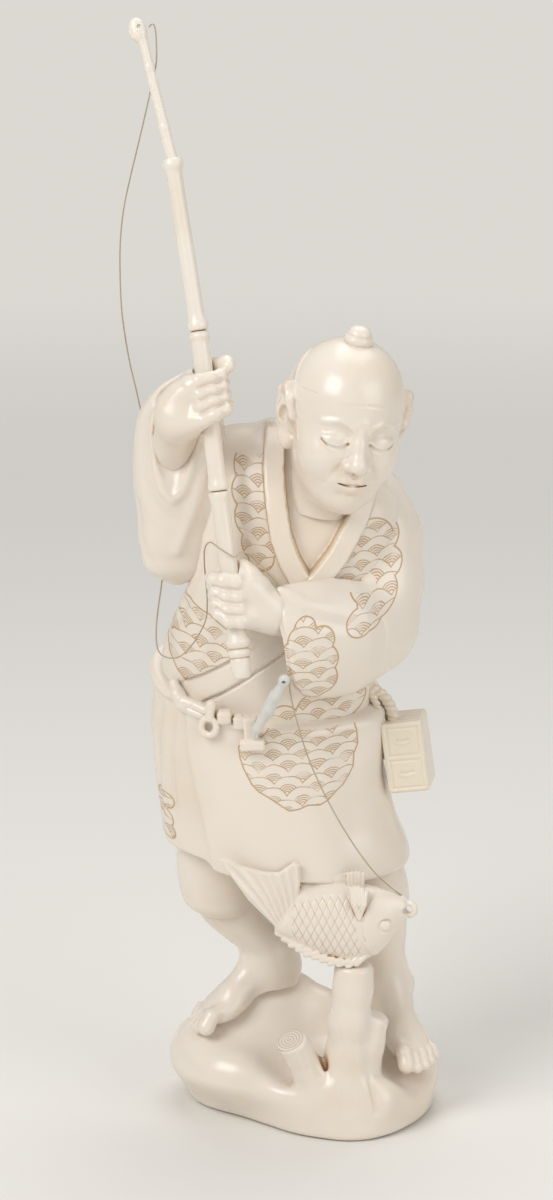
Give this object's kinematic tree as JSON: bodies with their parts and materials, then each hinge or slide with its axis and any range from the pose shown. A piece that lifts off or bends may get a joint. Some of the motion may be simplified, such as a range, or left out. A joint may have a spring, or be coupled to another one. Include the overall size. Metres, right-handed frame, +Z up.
{
  "type": "okimono carving",
  "caption": "Free-standing carved fisherman in a patterned robe, on a rock, holding a long jointed rod with a line to a carp.",
  "frame": {"origin": "centre of the rock's flat underside, on the table", "axes": "+Z up, the figure's front faces -Y, +X to the viewer's right"},
  "size_m": [0.0868, 0.0643, 0.2994],
  "materials": {
    "polished_ivory": "polished, lightly stained in the engraving",
    "pale_ivory": "polished",
    "warm_ivory": "polished",
    "grey_bone": "satin",
    "dowel_ivory": "turned, unpolished",
    "line_wire": "dull thin wire"
  },
  "bodies": {
    "figure": {"rock_base": "polished_ivory", "right_leg": "polished_ivory", "left_leg": "polished_ivory", "lower_robe": "polished_ivory", "upper_robe": "polished_ivory", "right_sleeve": "polished_ivory", "left_sleeve": "polished_ivory", "right_hand": "polished_ivory", "left_hand": "polished_ivory", "head": "polished_ivory", "topknot_plug": "pale_ivory", "fish": "polished_ivory", "tackle_box": "warm_ivory", "box_rope": "warm_ivory", "belt_set": "polished_ivory", "line_peg": "grey_bone", "line_hanging": "line_wire", "line_lower": "line_wire", "right_foot_dowel": "dowel_ivory", "left_foot_dowel": "dowel_ivory", "right_hip_dowel": "dowel_ivory", "left_hip_dowel": "dowel_ivory", "waist_dowel": "dowel_ivory", "neck_dowel": "dowel_ivory", "right_arm_dowel": "dowel_ivory", "left_arm_dowel": "dowel_ivory", "right_wrist_dowel": "dowel_ivory", "left_wrist_dowel": "dowel_ivory", "fish_dowel": "dowel_ivory", "box_dowel": "dowel_ivory"},
    "rod": {"rod_lower": "pale_ivory", "rod_grip": "pale_ivory", "rod_upper": "pale_ivory", "rod_tip": "pale_ivory"}
  },
  "joints": [
    {"name": "rod_slide", "type": "slide", "parent": "figure", "child": "rod", "axis": [-0.1246, 0.1977, 0.9723], "range_m": [-0.008, 0.0012]}
  ]
}
